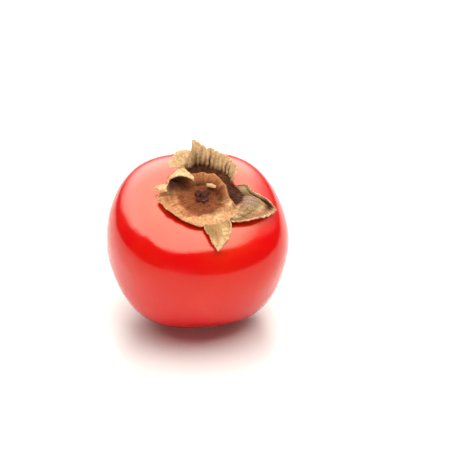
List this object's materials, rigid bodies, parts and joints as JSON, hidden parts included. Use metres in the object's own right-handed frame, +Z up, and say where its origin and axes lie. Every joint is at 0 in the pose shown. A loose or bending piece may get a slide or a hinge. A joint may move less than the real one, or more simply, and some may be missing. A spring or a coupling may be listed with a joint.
{
  "type": "persimmon fruit",
  "caption": "Ripe squat persimmon with a dried, curled calyx and a woody stem scar, leaning on a small flat spot as it lies.",
  "frame": {"origin": "on the surface that the fruit rests on, in its flat spot, under the middle of its body", "axes": "+Z up from the resting surface; the calyx leans towards -Y and a little towards +X"},
  "size_m": [0.0761, 0.0759, 0.0773],
  "materials": {
    "skin": "glossy, thin-skinned, orange-red, a little more orange round the calyx and the blossom end",
    "dried_leaf": "matt, dry, ribbed, tan with darker veins and pale edges",
    "wood": "matt, fibrous, dark brown",
    "dried_style": "matt, nearly black"
  },
  "bodies": {
    "root": {"fruit": "skin", "calyx": "dried_leaf", "stem_scar": "wood", "style_tip": "dried_style"}
  },
  "joints": []
}
